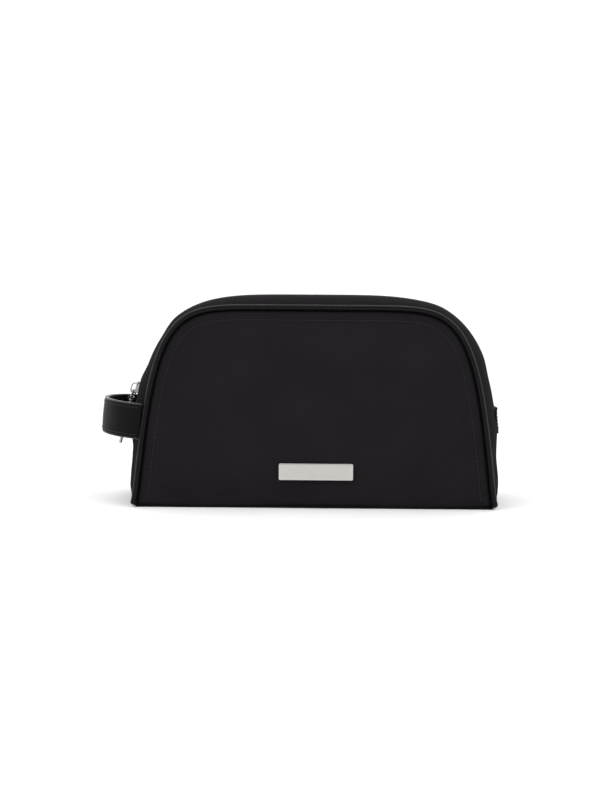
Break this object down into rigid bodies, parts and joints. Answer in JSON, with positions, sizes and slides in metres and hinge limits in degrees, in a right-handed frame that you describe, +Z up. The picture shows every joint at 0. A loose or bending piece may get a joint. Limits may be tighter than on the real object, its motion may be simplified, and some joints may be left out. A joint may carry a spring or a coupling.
{
  "type": "toiletry bag",
  "caption": "Black padded dome-top wash bag with zip over the top, piped seams, flat base, side carrying loop and small metal badge plate.",
  "frame": {"origin": "middle of the base's underside, on the floor", "axes": "+X along the bag's length, away from the carrying loop; -Y out of the front panel that carries the badge; +Z up"},
  "size_m": [0.2901, 0.1026, 0.1505],
  "materials": {
    "outer_fabric": "matt black fine twill",
    "lining_fabric": "charcoal smooth nylon",
    "foam": "open-cell wadding",
    "board": "stiffener board",
    "strap_leather": "semi-matt black with painted edges",
    "piping_leather": "semi-gloss black",
    "zip_tape": "black woven tape",
    "zip_coil": "black nylon coil",
    "chrome_metal": "polished nickel plate",
    "badge_metal": "satin nickel with bright rim",
    "backing_metal": "plain pressed plate"
  },
  "bodies": {
    "shell": {"back_panel": "outer_fabric", "back_foam": "foam", "back_lining": "lining_fabric", "back_piping": "piping_leather", "back_zip_strip": "outer_fabric", "back_strip_lining": "lining_fabric", "back_zip_tape": "zip_tape", "back_zip_coil": "zip_coil", "base_panel": "outer_fabric", "base_board": "board", "base_lining": "lining_fabric", "left_gusset": "outer_fabric", "left_gusset_foam": "foam", "left_gusset_lining": "lining_fabric", "right_gusset": "outer_fabric", "right_gusset_foam": "foam", "right_gusset_lining": "lining_fabric", "front_strip_closed_end": "outer_fabric", "front_lining_closed_end": "lining_fabric", "front_tape_closed_end": "zip_tape", "front_coil_closed_end": "zip_coil", "zip_stop_left": "chrome_metal", "zip_stop_right": "chrome_metal", "zip_tab_left": "strap_leather", "zip_tab_right": "strap_leather", "strap_outer": "strap_leather", "strap_inner": "strap_leather"},
    "front": {"front_panel": "outer_fabric", "front_foam": "foam", "front_lining": "lining_fabric", "front_piping": "piping_leather", "front_zip_strip": "outer_fabric", "front_strip_lining": "lining_fabric", "front_zip_tape": "zip_tape", "front_zip_coil": "zip_coil", "badge_plate": "badge_metal", "badge_backing": "backing_metal"},
    "slider": {"slider_body": "chrome_metal", "slider_bridge": "chrome_metal"},
    "link": {"pull_link": "chrome_metal"},
    "pull": {"pull_bar": "chrome_metal"}
  },
  "joints": [
    {"name": "mouth_opening", "type": "hinge", "parent": "shell", "child": "front", "pos_m": [0, -0.05, 0], "axis": [1, 0, 0], "range_deg": [0, 14]},
    {"name": "zip_slide", "type": "slide", "parent": "shell", "child": "slider", "axis": [0.2774, 0, 0.9608], "range_m": [0, 0.0239]},
    {"name": "link_swing", "type": "hinge", "parent": "slider", "child": "link", "pos_m": [-0.1331, 0, 0.07975], "axis": [0, 1, 0], "range_deg": [0, 6]},
    {"name": "pull_swing", "type": "hinge", "parent": "link", "child": "pull", "pos_m": [-0.1349, 0, 0.07351], "axis": [0, 1, 0], "range_deg": [0, 5]}
  ]
}
